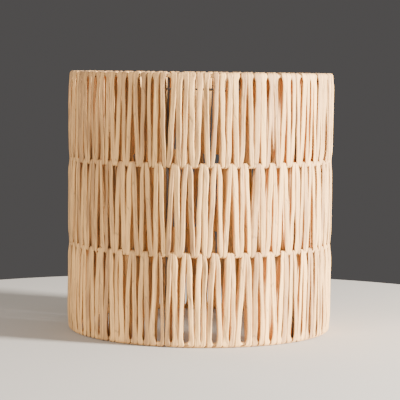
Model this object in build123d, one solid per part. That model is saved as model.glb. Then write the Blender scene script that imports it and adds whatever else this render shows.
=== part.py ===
from build123d import *
import math
import os

# A drum lamp shade: four wire rings on six uprights, laced in three tiers with flat leaf cord.
# +Z is up, the origin is the centre of the bottom, and the sizes are millimetres.

# Overall sizes
shade_diameter = 460.0          # over the lacing
shade_height = 450.0            # over the lacing on both rims

# Frame
ring_wire_diameter = 4.5        # all four rings
upright_wire_diameter = 4.0
upright_count = 6
first_upright_angle = 16.0      # degrees from +X, counter-clockwise seen from above
weld_overrun = 1.5              # how far uprights and arms run past a rim ring's centre

# Fitter
arm_wire_diameter = 4.0
arm_count = 3
arm_bend_radius = 10.0          # on the wire's centre line
fitter_drop = 25.0              # hub below the centre of the top ring
hub_diameter = 32.0
hub_thickness = 3.0
hub_bore_diameter = 11.1        # passes the harp's screw
hub_edge_round = 0.6

# Fibre
rim_wrap_thickness = 1.3        # strip wound round the top and bottom rings
band_wrap_thickness = 0.6       # thinner strip on the two band rings
loop_thickness = 1.8            # lacing cord where it is pressed round a ring
cord_clearance = 0.3            # between a cord panel and the uprights and arms, and between panels
wrap_clearance = 0.1            # between a wrap and the wires and cords that cross it

# Worked out from the sizes above
ring_wire_radius = ring_wire_diameter / 2
upright_radius = upright_wire_diameter / 2
arm_radius = arm_wire_diameter / 2
rim_wrap_radius = ring_wire_radius + rim_wrap_thickness
band_wrap_radius = ring_wire_radius + band_wrap_thickness
lacing_half = rim_wrap_radius + wrap_clearance + loop_thickness
ring_radius = shade_diameter / 2 - lacing_half
bottom_ring_height = lacing_half
top_ring_height = shade_height - lacing_half
tier_height = (top_ring_height - bottom_ring_height) / 3
lower_band_height = bottom_ring_height + tier_height
upper_band_height = bottom_ring_height + 2 * tier_height
upright_position = ring_radius - ring_wire_radius - upright_radius
arm_position = ring_radius - ring_wire_radius - arm_radius
hub_height = top_ring_height - fitter_drop
panel_angle = 360.0 / upright_count
panel_gap_angle = math.degrees(cord_clearance / ring_radius)


def upright_angle(index):
    return first_upright_angle + panel_angle * index


def arm_angle(index):
    # Each arm meets the rim halfway between two uprights.
    return first_upright_angle + panel_angle / 2 + 360.0 / arm_count * index


def ring(height, wire_radius):
    return Pos(0, 0, height) * Torus(ring_radius, wire_radius)


def post(position, angle, radius, low, high):
    # A straight round bar, parallel to +Z, at a distance and an angle from the shade's axis.
    bar = Pos(position, 0, (low + high) / 2) * Cylinder(radius, high - low)
    return Rot(0, 0, angle) * bar


def upright(index):
    low = bottom_ring_height - weld_overrun
    high = top_ring_height + weld_overrun
    return post(upright_position, upright_angle(index), upright_radius, low, high)


def fitter_arm(index):
    # From the hub's edge straight out, then up the inside of the top ring.
    inner_end = Vector(hub_diameter / 4, 0, hub_height)
    corner = Vector(arm_position, 0, hub_height)
    outer_end = Vector(arm_position, 0, top_ring_height + weld_overrun)
    path = FilletPolyline(inner_end, corner, outer_end, radius=arm_bend_radius)
    section = Plane(origin=inner_end, z_dir=(1, 0, 0)) * Circle(arm_radius)
    wire = sweep(section, path=path)
    hub_blank = Pos(0, 0, hub_height) * Cylinder(hub_diameter / 2, 3 * arm_wire_diameter)
    return Rot(0, 0, arm_angle(index)) * (wire - hub_blank)


def fitter_hub():
    washer = Cylinder(hub_diameter / 2, hub_thickness)
    washer = fillet(washer.edges(), hub_edge_round)
    washer = washer - Cylinder(hub_bore_diameter / 2, 2 * hub_thickness)
    return Pos(0, 0, hub_height) * washer


def wrap(height, wrap_radius, meets_arms=False):
    # The strip's outer shape, open where the uprights and the fitter arms meet the ring.
    low = height - 2 * wrap_radius
    high = height + 2 * wrap_radius
    cuts = [ring(height, ring_wire_radius)]
    for index in range(upright_count):
        cuts.append(post(upright_position, upright_angle(index), upright_radius + wrap_clearance, low, high))
    if meets_arms:
        for index in range(arm_count):
            cuts.append(post(arm_position, arm_angle(index), arm_radius + wrap_clearance, low, high))
    return ring(height, wrap_radius) - cuts


def tier_section(low, high, round_low, round_high):
    # Half of the tier's cross-section, on the XZ plane: a wall that is rounded where it goes over a rim.
    inner = ring_radius - lacing_half
    outer = ring_radius + lacing_half
    left = Line((inner, low), (inner, high))
    right = Line((outer, high), (outer, low))
    if round_high:
        top = ThreePointArc((inner, high), (ring_radius, high + lacing_half), (outer, high))
    else:
        top = Line((inner, high), (outer, high))
    if round_low:
        bottom = ThreePointArc((outer, low), (ring_radius, low - lacing_half), (inner, low))
    else:
        bottom = Line((outer, low), (inner, low))
    outline = Wire([left, top, right, bottom])
    return Plane.XZ * make_face(outline.edges())


def cord_panel(index, section, cuts):
    # The space that one length of lacing fills, between two uprights.
    sweep_angle = panel_angle - panel_gap_angle
    panel = revolve(section, axis=Axis.Z, revolution_arc=sweep_angle)
    panel = Rot(0, 0, upright_angle(index) + panel_gap_angle / 2) * panel
    for cut in cuts:
        panel = panel - cut
    return panel


def upright_slots():
    radius = upright_radius + cord_clearance
    low = -shade_height
    high = 2 * shade_height
    return [post(upright_position, upright_angle(i), radius, low, high) for i in range(upright_count)]


def arm_slots():
    # Each slot is open towards the axis, where the arm bends out of the panel.
    radius = arm_radius + cord_clearance
    low = hub_height - 2 * arm_radius
    high = top_ring_height + weld_overrun + cord_clearance
    way_in = Box(arm_bend_radius, 2 * radius, high - low)
    way_in = Pos(arm_position - arm_bend_radius / 2, 0, (low + high) / 2) * way_in
    slots = []
    for index in range(arm_count):
        slots.append(post(arm_position, arm_angle(index), radius, low, high))
        slots.append(Rot(0, 0, arm_angle(index)) * way_in)
    return slots


def tier(low, high, is_bottom, is_top):
    # One tier's panels. Between tiers the cords share a band ring, half each.
    half_gap = cord_clearance / 2
    section_low = low if is_bottom else low + half_gap
    section_high = high if is_top else high - half_gap
    section = tier_section(section_low, section_high, is_bottom, is_top)
    band_groove = band_wrap_radius + wrap_clearance
    rim_groove = rim_wrap_radius + wrap_clearance
    cuts = upright_slots()
    cuts.append(ring(low, rim_groove if is_bottom else band_groove))
    cuts.append(ring(high, rim_groove if is_top else band_groove))
    if is_top:
        cuts = cuts + arm_slots()
    return [cord_panel(i, section, cuts) for i in range(upright_count)]


def build():
    nodes = {
        "top_ring": ring(top_ring_height, ring_wire_radius),
        "upper_band_ring": ring(upper_band_height, ring_wire_radius),
        "lower_band_ring": ring(lower_band_height, ring_wire_radius),
        "bottom_ring": ring(bottom_ring_height, ring_wire_radius),
        "fitter_hub": fitter_hub(),
        "top_rim_wrap": wrap(top_ring_height, rim_wrap_radius, meets_arms=True),
        "upper_band_wrap": wrap(upper_band_height, band_wrap_radius),
        "lower_band_wrap": wrap(lower_band_height, band_wrap_radius),
        "bottom_rim_wrap": wrap(bottom_ring_height, rim_wrap_radius),
    }
    for index in range(upright_count):
        nodes[f"upright_{index + 1}"] = upright(index)
    for index in range(arm_count):
        nodes[f"fitter_arm_{index + 1}"] = fitter_arm(index)
    tiers = {
        "top_cord": tier(upper_band_height, top_ring_height, False, True),
        "middle_cord": tier(lower_band_height, upper_band_height, False, False),
        "bottom_cord": tier(bottom_ring_height, lower_band_height, True, False),
    }
    for name, panels in tiers.items():
        for index, panel in enumerate(panels):
            nodes[f"{name}_{index + 1}"] = panel
    return nodes


os.makedirs("parts", exist_ok=True)
for node, shape in build().items():
    export_step(shape, f"parts/{node}.step")
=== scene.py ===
import math
import random
from collections import namedtuple

import bpy
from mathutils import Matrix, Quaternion, Vector, noise


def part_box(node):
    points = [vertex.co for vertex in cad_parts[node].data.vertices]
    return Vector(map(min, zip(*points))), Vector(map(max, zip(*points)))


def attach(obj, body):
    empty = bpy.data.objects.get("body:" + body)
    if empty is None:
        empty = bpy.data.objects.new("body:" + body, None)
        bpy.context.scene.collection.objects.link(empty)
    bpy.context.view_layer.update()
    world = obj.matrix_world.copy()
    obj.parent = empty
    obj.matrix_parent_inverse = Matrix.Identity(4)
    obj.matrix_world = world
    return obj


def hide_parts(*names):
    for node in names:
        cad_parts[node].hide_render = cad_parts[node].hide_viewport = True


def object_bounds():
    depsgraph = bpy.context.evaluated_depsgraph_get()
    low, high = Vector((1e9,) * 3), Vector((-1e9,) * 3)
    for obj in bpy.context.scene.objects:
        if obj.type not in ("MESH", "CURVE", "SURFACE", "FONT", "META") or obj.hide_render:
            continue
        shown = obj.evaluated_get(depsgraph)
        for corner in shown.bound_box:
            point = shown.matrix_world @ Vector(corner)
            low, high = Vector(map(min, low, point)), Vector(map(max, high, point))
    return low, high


# A laced drum shade. The frame brings the rings, uprights, fitter arms and hub.
# Here the leaf cord is laced over the rings, the strips are wound on them and every surface gets its finish.
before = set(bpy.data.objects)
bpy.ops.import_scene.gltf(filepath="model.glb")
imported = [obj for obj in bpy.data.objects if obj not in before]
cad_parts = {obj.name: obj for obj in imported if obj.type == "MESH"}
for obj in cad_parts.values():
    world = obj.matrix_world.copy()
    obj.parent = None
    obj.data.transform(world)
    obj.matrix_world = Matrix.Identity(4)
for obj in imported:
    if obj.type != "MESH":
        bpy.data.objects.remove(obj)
cad_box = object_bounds()

MM = 0.001

# Lacing
PANELS = 6
TURNS_PER_PANEL = 20            # turns of cord between two uprights, laid in pairs
CORD_WIDTH = 8.3 * MM
CORD_THICKNESS = 3.0 * MM       # halfway between two rings
LOOP_THICKNESS = 1.8 * MM       # pressed round a ring
PAIR_PITCH = 7.9 * MM           # between two turns that lie side by side
BAND_PITCH = 5.9 * MM           # the same, squeezed on a band ring that two tiers share
RIM_PITCH = 10.9 * MM           # the same, spread flat over a rim
CORD_BOW = 0.6 * MM             # how far a turn bows away between its rings
POST_ROOM = 6.2 * MM            # from an upright's or arm's centre to the middle of the turns beside it
ARM_REACH = 40 * MM             # the arms lie behind the lacing this far down from the top ring
TAIL_LENGTH = 15 * MM
TAIL_WIDTH = 6 * MM
CUT_END_WIDTH = 4 * MM
TAIL_STEPS = 6
LEG_STEPS = 18
LOOP_STEPS = 8

# Strips wound on the rings
RIM_STRIP_PITCH = 7.6 * MM
BAND_STRIP_PITCH = 5.2 * MM
STRIP_STEPS = 12


def ring_size(node):
    """Ring radius, tube radius and height of a ring or a wrap in the frame."""
    low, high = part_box(node)
    tube = (high.z - low.z) / 2
    return (high.x - low.x) / 2 - tube, tube, (high.z + low.z) / 2


RING_RADIUS, WIRE_RADIUS, TOP_HEIGHT = ring_size("top_ring")
UPPER_HEIGHT = ring_size("upper_band_ring")[2]
LOWER_HEIGHT = ring_size("lower_band_ring")[2]
BOTTOM_HEIGHT = ring_size("bottom_ring")[2]
RIM_WRAP_RADIUS = ring_size("top_rim_wrap")[1]
BAND_WRAP_RADIUS = ring_size("upper_band_wrap")[1]
PANEL_ARC = RING_RADIUS * math.tau / PANELS
PAIR_PERIOD = PANEL_ARC / TURNS_PER_PANEL * 2


def post_angle(node):
    """Where an upright or an arm stands round the shade."""
    low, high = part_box(node)
    return math.atan2(low.y + high.y, low.x + high.x)


def place(first_angle, along, out, height):
    """A point on the shade: along the ring, out from the wire's centre, and up."""
    angle = first_angle + along / RING_RADIUS
    radius = RING_RADIUS + out
    return Vector((radius * math.cos(angle), radius * math.sin(angle), height))


def facing(first_angle, along, out, up):
    return place(first_angle, along, out, up) - place(first_angle, along, 0, 0)


def smooth(value):
    value = min(1.0, max(0.0, value))
    return value * value * (3 - 2 * value)


def wander(*at):
    return noise.noise(Vector(at))


# ---------------------------------------------------------------- meshes that follow a path

Station = namedtuple("Station", "point outward width thickness tilt tone")

CORD_SECTION = (
    (-0.50, 0.00), (-0.44, 0.32), (-0.22, 0.50), (0.06, 0.33), (0.25, 0.49), (0.45, 0.30),
    (0.50, -0.04), (0.42, -0.36), (0.14, -0.50), (-0.16, -0.46), (-0.43, -0.34),
)
STRIP_SECTION = ((-0.5, 0.05), (-0.3, 0.75), (0.05, 1.1), (0.5, 1.45), (0.5, 0.55), (0.0, 0.0))


def section_corners(stations, section, closed, ragged):
    """The section's corners at every station, square to the path and a little uneven."""
    points = [station.point for station in stations]
    count = len(points)
    corners = []
    for index, station in enumerate(stations):
        before = points[index - 1] if index > 0 or closed else points[0]
        after = points[(index + 1) % count] if index < count - 1 or closed else points[-1]
        run = (after - before).normalized()
        across = run.cross(station.outward).normalized()
        lift = across.cross(run).normalized()
        twist = Quaternion(run, station.tilt)
        across.rotate(twist)
        lift.rotate(twist)
        for number, (side, rise) in enumerate(section):
            uneven = 1 + ragged * wander(index * 0.31, number * 1.7, station.tone * 50)
            corner = across * (side * station.width) + lift * (rise * station.thickness)
            corners.append(station.point + corner * uneven)
    return corners


def lay_out(mesh, stations, around, spans):
    """UV map "lay": metres along the path, and once round the section."""
    lengths = [0.0]
    for before, after in zip(stations, stations[1:]):
        lengths.append(lengths[-1] + (after.point - before.point).length)
    lengths.append(lengths[-1] + (stations[0].point - stations[-1].point).length)
    lay = mesh.uv_layers.new(name="lay")
    corner = 0
    for index in range(spans):
        start, end = lengths[index], lengths[index + 1]
        for step in range(around):
            low, high = step / around, (step + 1) / around
            for uv in ((start, low), (start, high), (end, high), (end, low)):
                lay.data[corner].uv = uv
                corner += 1


def follow_path(name, stations, section, closed=False, ragged=0.0):
    """One closed mesh: the section carried along the stations."""
    count = len(stations)
    around = len(section)
    spans = count if closed else count - 1
    faces = []
    for index in range(spans):
        near = index * around
        far = (index + 1) % count * around
        for step in range(around):
            following = (step + 1) % around
            faces.append((near + step, near + following, far + following, far + step))
    if not closed:
        faces.append(tuple(reversed(range(around))))
        faces.append(tuple(range((count - 1) * around, count * around)))
    mesh = bpy.data.meshes.new(name)
    mesh.from_pydata(section_corners(stations, section, closed, ragged), [], faces)
    lay_out(mesh, stations, around, spans)
    tones = mesh.attributes.new("tone", "FLOAT", "POINT")
    tones.data.foreach_set("value", [station.tone for station in stations for _ in section])
    mesh.shade_smooth()
    piece = bpy.data.objects.new(name, mesh)
    bpy.context.scene.collection.objects.link(piece)
    return piece


# ---------------------------------------------------------------- lacing

# A ring as the lacing meets it: the radius the cord lies on, the pitch of a pair's turns inside and outside
# the ring, and how far from the ring a turn begins to ease to that pitch.
Edge = namedtuple("Edge", "height core inside_pitch outside_pitch ease")
Turn = namedtuple("Turn", "low high side width tone tilt wave")


def rim_edge(height):
    return Edge(height, RIM_WRAP_RADIUS + 0.05 * MM, PAIR_PITCH, RIM_PITCH, 5.5 * MM)


def band_edge(height):
    return Edge(height, BAND_WRAP_RADIUS + 0.05 * MM, BAND_PITCH, BAND_PITCH, 7 * MM)


def draw_turns(draw):
    """The turns of one panel: they meet in pairs at the lower ring, and in other pairs at the upper one."""
    pairs = TURNS_PER_PANEL // 2
    low_shift = [draw.gauss(0, 1.5 * MM) for _ in range(pairs + 1)]
    high_shift = [draw.gauss(0, 1.7 * MM) for _ in range(pairs)]
    low_shift[0] = low_shift[-1] = 0.0
    turns = []
    for number in range(TURNS_PER_PANEL):
        pair, is_right = divmod(number, 2)
        side = -1 if is_right else 1
        low_centre = (pair + is_right) * PAIR_PERIOD + low_shift[pair + is_right]
        high_centre = (pair + 0.5) * PAIR_PERIOD + high_shift[pair]
        turns.append(Turn(
            low=low_centre + side * PAIR_PITCH / 2 + draw.gauss(0, 0.3 * MM),
            high=high_centre - side * PAIR_PITCH / 2 + draw.gauss(0, 0.3 * MM),
            side=side,
            width=CORD_WIDTH * (1 + draw.gauss(0, 0.10)),
            tone=min(1.0, max(0.0, draw.gauss(0.5, 0.28))),
            tilt=draw.gauss(0, 0.12),
            wave=draw.uniform(0, 100),
        ))
    return turns


def pitch_at(edge, outside):
    return edge.outside_pitch if outside else edge.inside_pitch


def clear_of(posts, along):
    """Moves a turn inside the rings off the posts that stand there."""
    for post in posts:
        if abs(along - post) < POST_ROOM:
            along = post + math.copysign(POST_ROOM, along - post)
    return along


def ring_place(turn, edge, is_low, outside, posts):
    """Where a turn crosses a ring."""
    along = turn.low if is_low else turn.high
    side = turn.side if is_low else -turn.side
    along += side * (pitch_at(edge, outside) - PAIR_PITCH) / 2
    return along if outside else clear_of(posts, along)


def leg(first_angle, turn, low, high, outside, upward, posts, top_posts):
    """A turn's straight part, on one side of the rings."""
    span = high.height - low.height
    low_change = pitch_at(low, outside) - PAIR_PITCH
    high_change = pitch_at(high, outside) - PAIR_PITCH
    way = 1 if outside else -1
    stations = []
    for step in range(LEG_STEPS + 1):
        rise = step / LEG_STEPS if upward else 1 - step / LEG_STEPS
        from_low = rise * span
        from_high = span - from_low
        near_low = math.exp(-(from_low / low.ease) ** 2)
        near_high = math.exp(-(from_high / high.ease) ** 2)
        free = smooth(min(from_low, from_high) / (22 * MM))
        along = turn.low + (turn.high - turn.low) * rise
        along += turn.side * (low_change * near_low - high_change * near_high) / 2
        along += free * 1.5 * MM * wander(rise * 2.6, turn.wave, 5.0 * way)
        if not outside:
            along = clear_of(posts + (top_posts if from_high < ARM_REACH else ()), along)
        width = turn.width * (1 + (low_change * near_low + high_change * near_high) / PAIR_PITCH)
        width *= 1 + 0.14 * free * wander(rise * 3.4, turn.wave, 31.0)
        thickness = LOOP_THICKNESS + (CORD_THICKNESS - LOOP_THICKNESS) * free
        out = low.core + (high.core - low.core) * rise + thickness / 2
        out += CORD_BOW * math.sin(math.pi * rise) + free * 0.6 * MM * wander(rise * 2.2, turn.wave, 57.0)
        tilt = free * (turn.tilt + 0.4 * wander(rise * 2.0, turn.wave, 77.0))
        point = place(first_angle, along, way * out, low.height + from_low)
        stations.append(Station(point, facing(first_angle, along, way, 0), width, thickness, tilt, turn.tone))
    return stations


def bend_over(first_angle, edge, start, end, places, widths, tones):
    """A turn's bend round a ring, between two angles about the wire. Places, widths and tones are pairs."""
    radius = edge.core + LOOP_THICKNESS / 2
    slip = min(1.0, abs(places[1] - places[0]) / (12 * MM))
    stations = []
    for step in range(1, LOOP_STEPS):
        share = step / LOOP_STEPS
        about = math.radians(start + (end - start) * share)
        along = places[0] + (places[1] - places[0]) * smooth(share)
        width = widths[0] + (widths[1] - widths[0]) * smooth(share)
        width *= 1 - 0.55 * slip * math.sin(math.pi * share)
        out, up = math.cos(about), math.sin(about)
        point = place(first_angle, along, radius * out, edge.height + radius * up)
        outward = facing(first_angle, along, out, up)
        tone = tones[0] + (tones[1] - tones[0]) * share
        stations.append(Station(point, outward, width, LOOP_THICKNESS, 0.0, tone))
    return stations


def first_tail(first_angle, turn, low, along):
    """The cord's trimmed end, left lying inside the lower ring."""
    stations = []
    for step in range(TAIL_STEPS):
        share = step / TAIL_STEPS
        height = low.height + TAIL_LENGTH * (1 - share)
        thickness = LOOP_THICKNESS * (0.45 + 0.55 * smooth(share * 2))
        width = TAIL_WIDTH * (0.55 + 0.45 * smooth(share * 3))
        point = place(first_angle, along, -low.core - thickness / 2, height)
        stations.append(Station(point, facing(first_angle, along, -1, 0), width, thickness, 0.1, turn.tone))
    return stations


def lace_panel(name, first_angle, low, high, posts, top_posts, seed):
    """One length of cord, wound over two rings from one upright to the next."""
    turns = draw_turns(random.Random(seed))
    first = turns[0]

    def width(turn, edge, outside):
        return turn.width * pitch_at(edge, outside) / PAIR_PITCH

    def low_place(turn, outside):
        return ring_place(turn, low, True, outside, posts)

    def high_place(turn, outside):
        return ring_place(turn, high, False, outside, posts + top_posts)

    tail_place = low_place(first, False) + PAIR_PITCH
    stations = first_tail(first_angle, first, low, tail_place)
    stations += bend_over(first_angle, low, 180, 360, (tail_place, low_place(first, True)),
                          (TAIL_WIDTH, width(first, low, True)), (first.tone, first.tone))
    for turn, following in zip(turns, turns[1:] + [None]):
        stations += leg(first_angle, turn, low, high, True, True, posts, top_posts)
        stations += bend_over(first_angle, high, 0, 180, (high_place(turn, True), high_place(turn, False)),
                              (width(turn, high, True), width(turn, high, False)), (turn.tone, turn.tone))
        stations += leg(first_angle, turn, low, high, False, False, posts, top_posts)
        start = low_place(turn, False)
        if following:
            stations += bend_over(first_angle, low, 180, 360, (start, low_place(following, True)),
                                  (width(turn, low, False), width(following, low, True)),
                                  (turn.tone, following.tone))
        else:
            stations += bend_over(first_angle, low, 180, 300, (start, start),
                                  (width(turn, low, False), CUT_END_WIDTH), (turn.tone, turn.tone))
    return follow_path(name, stations, CORD_SECTION, ragged=0.16)


# ---------------------------------------------------------------- strips wound on the rings

def wind_strip(name, height, outer_radius, pitch, seed):
    """A flat strip wound round a ring in overlapping turns."""
    draw = random.Random(seed)
    turns = round(math.tau * RING_RADIUS / pitch)
    real_pitch = math.tau * RING_RADIUS / turns
    thickness = (outer_radius - WIRE_RADIUS) / 2
    tones = [min(1.0, max(0.0, draw.gauss(0.55, 0.2))) for _ in range(turns)]
    stations = []
    for turn in range(turns):
        for step in range(STRIP_STEPS):
            share = step / STRIP_STEPS
            about = -math.tau * share
            along = (turn + share) * real_pitch
            radius = WIRE_RADIUS + 0.15 * MM * wander(turn * 0.7, math.cos(about), math.sin(about))
            point = place(0.0, along, radius * math.cos(about), height + radius * math.sin(about))
            outward = facing(0.0, along, math.cos(about), math.sin(about))
            tone = tones[turn] + (tones[(turn + 1) % turns] - tones[turn]) * share
            stations.append(Station(point, outward, real_pitch * 1.18, thickness, 0.0, tone))
    return follow_path(name, stations, STRIP_SECTION, closed=True)


# ---------------------------------------------------------------- finishes

def group_tree(name, inputs, outputs):
    tree = bpy.data.node_groups.new(name, "ShaderNodeTree")
    for label, kind, value in inputs:
        socket = tree.interface.new_socket(label, in_out="INPUT", socket_type=kind)
        if value is not None:
            socket.default_value = value
    for label, kind in outputs:
        tree.interface.new_socket(label, in_out="OUTPUT", socket_type=kind)
    return tree, tree.nodes.new("NodeGroupInput"), tree.nodes.new("NodeGroupOutput")


def add_node(tree, kind, **settings):
    node = tree.nodes.new(kind)
    for key, value in settings.items():
        setattr(node, key, value)
    return node


def stretched_noise(tree, vector, scale, detail, roughness):
    """Noise drawn out along the leaf: scale is (per metre along, times around)."""
    mapping = add_node(tree, "ShaderNodeMapping")
    mapping.inputs["Scale"].default_value = (scale[0], scale[1], 1.0)
    tree.links.new(vector, mapping.inputs["Vector"])
    texture = add_node(tree, "ShaderNodeTexNoise", noise_dimensions="2D")
    texture.inputs["Scale"].default_value = 1.0
    texture.inputs["Detail"].default_value = detail
    texture.inputs["Roughness"].default_value = roughness
    tree.links.new(mapping.outputs["Vector"], texture.inputs["Vector"])
    return texture.outputs["Fac"]


def sum_up(tree, operation, first, second):
    node = add_node(tree, "ShaderNodeMath", operation=operation)
    for socket, value in zip(node.inputs, (first, second)):
        if isinstance(value, (int, float)):
            socket.default_value = value
        else:
            tree.links.new(value, socket)
    return node.outputs["Value"]


def remap(tree, value, low, high, to_low, to_high):
    node = add_node(tree, "ShaderNodeMapRange")
    for label, number in (("From Min", low), ("From Max", high), ("To Min", to_low), ("To Max", to_high)):
        node.inputs[label].default_value = number
    tree.links.new(value, node.inputs["Value"])
    return node.outputs["Result"]


def mix_colours(tree, factor, first, second):
    node = add_node(tree, "ShaderNodeMix", data_type="RGBA")
    for label, value in (("Factor", factor), ("A", first), ("B", second)):
        socket = next(s for s in node.inputs if s.name == label and s.enabled)
        if isinstance(value, (int, float)):
            socket.default_value = value
        elif isinstance(value, tuple):
            socket.default_value = (*value, 1.0)
        else:
            tree.links.new(value, socket)
    return next(s for s in node.outputs if s.enabled)


def leaf_fibre_group():
    """Dried leaf: long fibres, folds that wind slowly round it, and uneven drying; the folds also get painted
    shade.
    """
    tree, given, result = group_tree(
        "leaf_fibre",
        (("Lay", "NodeSocketVector", None), ("Tone", "NodeSocketFloat", 0.5),
         ("Pale", "NodeSocketColor", (0.8, 0.6, 0.4, 1)), ("Deep", "NodeSocketColor", (0.5, 0.3, 0.15, 1)),
         ("Fold Shade", "NodeSocketColor", (0.25, 0.13, 0.06, 1))),
        (("Color", "NodeSocketColor"), ("Height", "NodeSocketFloat"), ("Roughness", "NodeSocketFloat")),
    )
    lay = given.outputs["Lay"]
    streak = stretched_noise(tree, lay, (16, 8), 5.0, 0.62)
    fine = stretched_noise(tree, lay, (70, 34), 3.0, 0.6)
    patch = stretched_noise(tree, lay, (11, 1.3), 2.0, 0.5)
    parts = add_node(tree, "ShaderNodeSeparateXYZ")
    tree.links.new(lay, parts.inputs["Vector"])
    winding = sum_up(tree, "ADD", parts.outputs["Y"], sum_up(tree, "MULTIPLY", parts.outputs["X"], 7.0))
    winding = sum_up(tree, "ADD", winding, sum_up(tree, "MULTIPLY", patch, 1.6))
    around_fold = sum_up(tree, "SUBTRACT", sum_up(tree, "FRACT", winding, 0.0), 0.5)
    from_fold = sum_up(tree, "ABSOLUTE", around_fold, 0.0)
    fold = remap(tree, from_fold, 0.0, 0.045, 1.0, 0.0)
    long_streaks = remap(tree, streak, 0.3, 0.7, -0.44, 0.44)
    fine_streaks = remap(tree, fine, 0.3, 0.7, -0.16, 0.16)
    lightness = sum_up(tree, "ADD", long_streaks, fine_streaks)
    lightness = sum_up(tree, "ADD", lightness, remap(tree, patch, 0.3, 0.7, -0.18, 0.18))
    lightness = sum_up(tree, "ADD", lightness, remap(tree, given.outputs["Tone"], 0.0, 1.0, 0.12, 0.98))
    colour = mix_colours(tree, lightness, given.outputs["Deep"], given.outputs["Pale"])
    # painted shade: the fold lines are darkened halfway towards a dark colour, standing in for shade in the
    # creases of the cord
    colour = mix_colours(tree, sum_up(tree, "MULTIPLY", fold, 0.5), colour, given.outputs["Fold Shade"])
    height = sum_up(tree, "ADD", sum_up(tree, "MULTIPLY", streak, 0.7), sum_up(tree, "MULTIPLY", fine, 0.35))
    height = sum_up(tree, "SUBTRACT", height, sum_up(tree, "MULTIPLY", fold, 0.35))
    tree.links.new(colour, result.inputs["Color"])
    tree.links.new(height, result.inputs["Height"])
    tree.links.new(remap(tree, streak, 0.3, 0.7, 0.50, 0.74), result.inputs["Roughness"])
    return tree


def new_material(name):
    material = bpy.data.materials.new(name)
    material.use_nodes = True
    return material, material.node_tree, material.node_tree.nodes["Principled BSDF"]


def leaf_material(name, fibre, pale, deep, fold_shade, relief):
    material, tree, shader = new_material(name)
    lay = add_node(tree, "ShaderNodeUVMap", uv_map="lay")
    tone = add_node(tree, "ShaderNodeAttribute", attribute_name="tone")
    leaf = add_node(tree, "ShaderNodeGroup", node_tree=fibre)
    leaf.inputs["Pale"].default_value = (*pale, 1)
    leaf.inputs["Deep"].default_value = (*deep, 1)
    leaf.inputs["Fold Shade"].default_value = (*fold_shade, 1)
    tree.links.new(lay.outputs["UV"], leaf.inputs["Lay"])
    tree.links.new(tone.outputs["Fac"], leaf.inputs["Tone"])
    bump = add_node(tree, "ShaderNodeBump")
    bump.inputs["Distance"].default_value = relief
    bump.inputs["Strength"].default_value = 0.9
    tree.links.new(leaf.outputs["Height"], bump.inputs["Height"])
    tree.links.new(leaf.outputs["Color"], shader.inputs["Base Color"])
    tree.links.new(leaf.outputs["Roughness"], shader.inputs["Roughness"])
    tree.links.new(bump.outputs["Normal"], shader.inputs["Normal"])
    shader.inputs["Specular IOR Level"].default_value = 0.35
    shader.inputs["Sheen Weight"].default_value = 0.08
    shader.inputs["Sheen Roughness"].default_value = 0.5
    return material


def paint_material(name, colour, chip):
    """Satin paint on wire, a little uneven, with small dull marks."""
    material, tree, shader = new_material(name)
    where = add_node(tree, "ShaderNodeTexCoord")
    cloud = add_node(tree, "ShaderNodeTexNoise")
    cloud.inputs["Scale"].default_value = 55.0
    cloud.inputs["Detail"].default_value = 5.0
    tree.links.new(where.outputs["Object"], cloud.inputs["Vector"])
    grain = add_node(tree, "ShaderNodeTexNoise")
    grain.inputs["Scale"].default_value = 900.0
    grain.inputs["Detail"].default_value = 2.0
    tree.links.new(where.outputs["Object"], grain.inputs["Vector"])
    marks = remap(tree, cloud.outputs["Fac"], 0.60, 0.72, 0.0, 0.7)
    tree.links.new(mix_colours(tree, marks, colour, chip), shader.inputs["Base Color"])
    tree.links.new(remap(tree, cloud.outputs["Fac"], 0.3, 0.7, 0.34, 0.58), shader.inputs["Roughness"])
    bump = add_node(tree, "ShaderNodeBump")
    bump.inputs["Distance"].default_value = 0.08 * MM
    bump.inputs["Strength"].default_value = 0.6
    tree.links.new(grain.outputs["Fac"], bump.inputs["Height"])
    tree.links.new(bump.outputs["Normal"], shader.inputs["Normal"])
    shader.inputs["Coat Weight"].default_value = 0.15
    shader.inputs["Coat Roughness"].default_value = 0.35
    return material


def finish_with(piece, material):
    piece.data.materials.clear()
    piece.data.materials.append(material)


def settle(piece, material, node):
    """Gives a new piece its finish and its body, and hides the frame's solid that it stands for."""
    finish_with(piece, material)
    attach(piece, "root")
    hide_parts(node)


# ---------------------------------------------------------------- the shade

fibre = leaf_fibre_group()
# the third, darkest colour of each leaf material is painted shade for the cord's folds
cord_leaf = leaf_material("laced_leaf_cord", fibre,
                          pale=(0.93, 0.55, 0.205), deep=(0.42, 0.23, 0.10), fold_shade=(0.16, 0.088, 0.042),
                          relief=0.6 * MM)
strip_leaf = leaf_material("wound_leaf_strip", fibre,
                           pale=(0.94, 0.585, 0.24), deep=(0.47, 0.26, 0.115), fold_shade=(0.18, 0.10, 0.048),
                           relief=0.3 * MM)
wire_paint = paint_material("dark_wire_paint", (0.045, 0.030, 0.022), (0.10, 0.075, 0.06))
hub_paint = paint_material("dark_hub_paint", (0.050, 0.034, 0.026), (0.16, 0.13, 0.11))

TIERS = {
    "bottom_cord": (rim_edge(BOTTOM_HEIGHT), band_edge(LOWER_HEIGHT)),
    "middle_cord": (band_edge(LOWER_HEIGHT), band_edge(UPPER_HEIGHT)),
    "top_cord": (band_edge(UPPER_HEIGHT), rim_edge(TOP_HEIGHT)),
}
arm_angles = [post_angle(f"fitter_arm_{number}") for number in (1, 2, 3)]
for tier_number, (tier, (low, high)) in enumerate(TIERS.items()):
    for panel in range(1, PANELS + 1):
        first_angle = post_angle(f"upright_{panel}")
        arms = [(angle - first_angle) % math.tau * RING_RADIUS for angle in arm_angles]
        arms = tuple(along for along in arms if along < PANEL_ARC and tier == "top_cord")
        node = f"{tier}_{panel}"
        seed = 100 * tier_number + panel
        laced = lace_panel(f"{node}_lacing", first_angle, low, high, (0.0, PANEL_ARC), arms, seed)
        settle(laced, cord_leaf, node)

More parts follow.
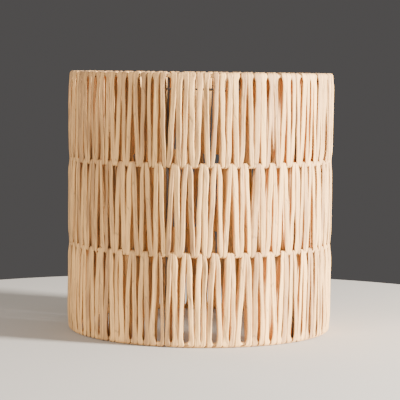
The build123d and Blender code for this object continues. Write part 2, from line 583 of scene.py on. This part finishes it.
WRAPS = {
    "top_rim_wrap": (TOP_HEIGHT, RIM_WRAP_RADIUS, RIM_STRIP_PITCH),
    "upper_band_wrap": (UPPER_HEIGHT, BAND_WRAP_RADIUS, BAND_STRIP_PITCH),
    "lower_band_wrap": (LOWER_HEIGHT, BAND_WRAP_RADIUS, BAND_STRIP_PITCH),
    "bottom_rim_wrap": (BOTTOM_HEIGHT, RIM_WRAP_RADIUS, RIM_STRIP_PITCH),
}
for seed, (node, (height, radius, pitch)) in enumerate(WRAPS.items(), 900):
    settle(wind_strip(f"{node}_strip", height, radius, pitch, seed), strip_leaf, node)

for name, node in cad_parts.items():
    if name == "fitter_hub":
        finish_with(node, hub_paint)
    elif name.startswith(("upright", "fitter_arm")) or name.endswith("_ring"):
        finish_with(node, wire_paint)


# ---------------------------------------------------------------- floor, light and camera

FLOOR_RADIUS = 0.75
FLOOR_GAP = 0.4 * MM            # under the shade, so that the lowest cord stays above it


def pale_floor():
    """A pale floor that is clear when seen from underneath."""
    material, tree, shader = new_material("pale_floor")
    where = add_node(tree, "ShaderNodeTexCoord")
    cloud = add_node(tree, "ShaderNodeTexNoise")
    cloud.inputs["Scale"].default_value = 3.0
    tree.links.new(where.outputs["Object"], cloud.inputs["Vector"])
    colour = mix_colours(tree, cloud.outputs["Fac"], (0.52, 0.50, 0.475), (0.49, 0.47, 0.445))
    tree.links.new(colour, shader.inputs["Base Color"])
    shader.inputs["Roughness"].default_value = 0.9
    shader.inputs["Specular IOR Level"].default_value = 0.1
    side = add_node(tree, "ShaderNodeNewGeometry")
    clear = add_node(tree, "ShaderNodeBsdfTransparent")
    choose = add_node(tree, "ShaderNodeMixShader")
    tree.links.new(side.outputs["Backfacing"], choose.inputs["Fac"])
    tree.links.new(shader.outputs["BSDF"], choose.inputs[1])
    tree.links.new(clear.outputs["BSDF"], choose.inputs[2])
    tree.links.new(choose.outputs["Shader"], tree.nodes["Material Output"].inputs["Surface"])
    return material


bpy.ops.object.select_all(action="DESELECT")
floor_height = cad_box[0].z - FLOOR_GAP
bpy.ops.mesh.primitive_circle_add(
    vertices=96, radius=FLOOR_RADIUS, fill_type="NGON", location=(0, 0, floor_height))
floor = bpy.context.object
floor.name = "floor"
bpy.ops.object.transform_apply(location=True, rotation=True, scale=True)
finish_with(floor, pale_floor())


def studio_surround(seen, ambient, strength):
    """A plain dark surround for the eye, and a soft even light from all round."""
    world = bpy.data.worlds.new("studio")
    bpy.context.scene.world = world
    world.use_nodes = True
    tree = world.node_tree
    light = tree.nodes["Background"]
    light.inputs["Color"].default_value = (*ambient, 1)
    light.inputs["Strength"].default_value = strength
    plain = add_node(tree, "ShaderNodeBackground")
    plain.inputs["Color"].default_value = (*seen, 1)
    path = add_node(tree, "ShaderNodeLightPath")
    choose = add_node(tree, "ShaderNodeMixShader")
    tree.links.new(path.outputs["Is Camera Ray"], choose.inputs["Fac"])
    tree.links.new(light.outputs["Background"], choose.inputs[1])
    tree.links.new(plain.outputs["Background"], choose.inputs[2])
    tree.links.new(choose.outputs["Shader"], tree.nodes["World Output"].inputs["Surface"])


def soft_light(name, location, size, power, colour):
    light = bpy.data.lights.new(name, "AREA")
    light.shape = "RECTANGLE"
    light.size, light.size_y = size
    light.energy = power
    light.color = colour
    lamp = bpy.data.objects.new(name, light)
    bpy.context.scene.collection.objects.link(lamp)
    lamp.location = location
    lamp.rotation_mode = "QUATERNION"
    lamp.rotation_quaternion = (centre - lamp.location).to_track_quat("-Z", "Y")


# Camera
CAMERA_DISTANCE = 2.926
CAMERA_RISE = 8 * MM            # above the shade's top
CAMERA_ROLL = math.radians(0.65)

centre = (cad_box[0] + cad_box[1]) / 2
studio_surround((0.085, 0.081, 0.080), (1.0, 0.92, 0.83), 0.32)
soft_light("window_side", (2.6, -1.0, 0.9), (0.5, 1.0), 560, (1.0, 0.955, 0.88))
soft_light("front_fill", (-2.0, -3.0, 1.2), (1.0, 1.0), 125, (1.0, 0.92, 0.82))
soft_light("overhead", (0.2, 0.2, 2.8), (1.4, 1.4), 12, (1.0, 0.97, 0.93))

lens = bpy.data.cameras.new("camera")
lens.lens = 150.0
lens.sensor_width = 36.0
camera = bpy.data.objects.new("camera", lens)
bpy.context.scene.collection.objects.link(camera)
camera.location = (0.0, -CAMERA_DISTANCE, cad_box[1].z + CAMERA_RISE)
camera.rotation_mode = "QUATERNION"
aim = (centre - camera.location).to_track_quat("-Z", "Y")
camera.rotation_quaternion = aim @ Quaternion((0, 0, 1), CAMERA_ROLL)
bpy.context.scene.camera = camera
